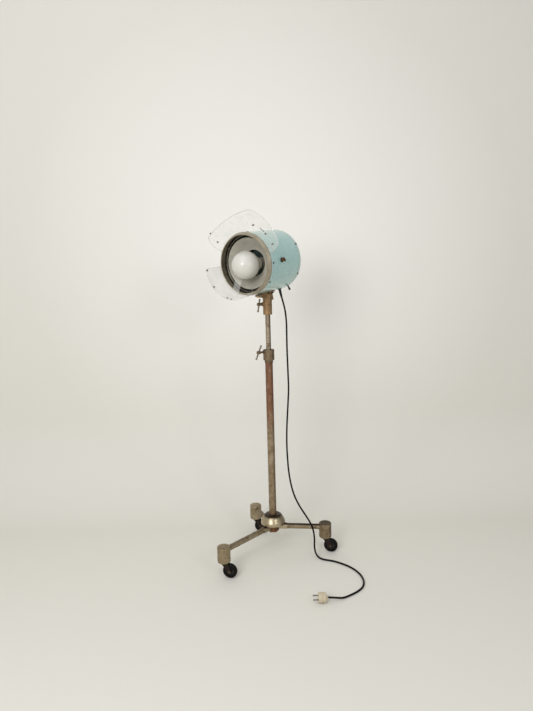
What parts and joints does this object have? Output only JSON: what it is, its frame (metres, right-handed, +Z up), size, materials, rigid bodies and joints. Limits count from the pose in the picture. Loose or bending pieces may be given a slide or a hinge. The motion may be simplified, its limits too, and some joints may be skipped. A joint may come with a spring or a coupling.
{
  "type": "surgical light",
  "caption": "Drum-shaped lamp with an opal globe and clear shields on a telescoping column with a three-legged caster base and a mains cord.",
  "frame": {"origin": "on the floor, under the centre of the bounding box of everything but the cord and plug", "axes": "+Z up the column, +X to the right as seen from the front, -Y towards the viewer; the lamp faces -Y and 35.5 degrees to -X"},
  "size_m": [0.5733, 0.6012, 1.379],
  "materials": {
    "worn_nickel": "worn nickel plate, warm",
    "bronze_nickel": "plating worn to brown",
    "brown_steel": "rusty brown",
    "turquoise": "glossy enamel",
    "beige_ring": "satin",
    "bronze_cast": "bronze brown",
    "copper_brown": "dull",
    "reflector_white": "white enamel",
    "opal_glass": "opal",
    "clear_sheet": "clear",
    "dark_steel": "oxidised",
    "zinc": "plated",
    "brass": "satin",
    "porcelain": "glazed",
    "black_plastic": "satin",
    "black_rubber": "matt",
    "cord_black": "satin",
    "plug_cream": "satin"
  },
  "bodies": {
    "stand": {"base_hub": "worn_nickel", "base_nut": "copper_brown", "base_spacer": "copper_brown", "leg_right": "bronze_nickel", "leg_rear": "bronze_nickel", "leg_front_left": "bronze_nickel", "leg_set_screws": "dark_steel", "cap_right": "worn_nickel", "cap_rear": "worn_nickel", "cap_front_left": "worn_nickel", "lower_tube": "bronze_nickel", "tube_bush": "bronze_nickel", "height_collar": "worn_nickel", "cord_lower": "cord_black", "plug_body": "plug_cream", "plug_pins": "zinc"},
    "mast": {"upper_tube": "worn_nickel", "guide_bush": "brass", "cord_upper": "cord_black"},
    "head": {"head_bracket": "bronze_cast", "saddle_bolts": "dark_steel", "drum_shell": "turquoise", "rear_cover": "turquoise", "rear_cover_screws": "dark_steel", "rear_thumb_screw": "black_plastic", "front_ring": "beige_ring", "ring_screws": "dark_steel", "retaining_ring": "zinc", "reflector": "reflector_white", "reflector_posts": "zinc", "lamp_holder": "porcelain", "holder_shell": "brass", "holder_bracket": "zinc", "bulb_globe": "opal_glass", "bulb_cap": "zinc", "terminal_block": "porcelain", "inner_wires": "cord_black", "switch_body": "black_plastic", "upper_shield": "clear_sheet", "upper_shield_rivets": "dark_steel", "lower_shield": "clear_sheet", "lower_shield_rivets": "dark_steel", "cord_gland": "black_plastic"},
    "switch_key": {"switch_key": "copper_brown"},
    "collar_clamp": {"collar_screw": "worn_nickel", "collar_tommy_bar": "zinc"},
    "bracket_clamp": {"bracket_screw": "worn_nickel", "bracket_tommy_bar": "zinc"},
    "caster_right": {"caster_fork_right": "brown_steel", "caster_axle_right": "dark_steel"},
    "wheel_right": {"wheel_core_right": "black_plastic", "tyre_right": "black_rubber"},
    "caster_rear": {"caster_fork_rear": "brown_steel", "caster_axle_rear": "dark_steel"},
    "wheel_rear": {"wheel_core_rear": "black_plastic", "tyre_rear": "black_rubber"},
    "caster_front_left": {"caster_fork_front_left": "brown_steel", "caster_axle_front_left": "dark_steel"},
    "wheel_front_left": {"wheel_core_front_left": "black_plastic", "tyre_front_left": "black_rubber"}
  },
  "joints": [
    {"name": "mast_slide", "type": "slide", "parent": "stand", "child": "mast", "axis": [0, 0, 1], "range_m": [-0.11, 0.25], "deforming": ["cord_lower"]},
    {"name": "head_pan", "type": "hinge", "parent": "mast", "child": "head", "pos_m": [-0.0149, 0.0037, 1.04], "axis": [0, 0, 1], "range_deg": [-90, 90], "deforming": ["cord_upper"]},
    {"name": "switch_turn", "type": "hinge", "parent": "head", "child": "switch_key", "pos_m": [0.04821, -0.12278, 1.20226], "axis": [0.8104, -0.5836, 0.0521], "range_deg": [0, 90]},
    {"name": "collar_clamp_turn", "type": "hinge", "parent": "stand", "child": "collar_clamp", "pos_m": [-0.05422, -0.02383, 0.8475], "axis": [-0.8192, -0.5736, 0], "range_deg": [-180, 180]},
    {"name": "bracket_clamp_turn", "type": "hinge", "parent": "head", "child": "bracket_clamp", "pos_m": [-0.04767, -0.01924, 1.036], "axis": [-0.8192, -0.5736, 0], "range_deg": [-120, 120]},
    {"name": "swivel_right", "type": "hinge", "parent": "stand", "child": "caster_right", "pos_m": [0.20097, -0.00384, 0.0584], "axis": [0, 0, 1], "continuous": true},
    {"name": "roll_right", "type": "hinge", "parent": "caster_right", "child": "wheel_right", "pos_m": [0.22318, -0.00979, 0.0285], "axis": [0.2588, 0.9659, 0], "continuous": true},
    {"name": "swivel_rear", "type": "hinge", "parent": "stand", "child": "caster_rear", "pos_m": [-0.09095, 0.19192, 0.0584], "axis": [0, 0, 1], "continuous": true},
    {"name": "roll_rear", "type": "hinge", "parent": "caster_rear", "child": "wheel_rear", "pos_m": [-0.06873, 0.18597, 0.0285], "axis": [0.2588, 0.9659, 0], "continuous": true},
    {"name": "swivel_front_left", "type": "hinge", "parent": "stand", "child": "caster_front_left", "pos_m": [-0.20768, -0.18247, 0.0584], "axis": [0, 0, 1], "continuous": true},
    {"name": "roll_front_left", "type": "hinge", "parent": "caster_front_left", "child": "wheel_front_left", "pos_m": [-0.18547, -0.18842, 0.0285], "axis": [0.2588, 0.9659, 0], "continuous": true}
  ]
}
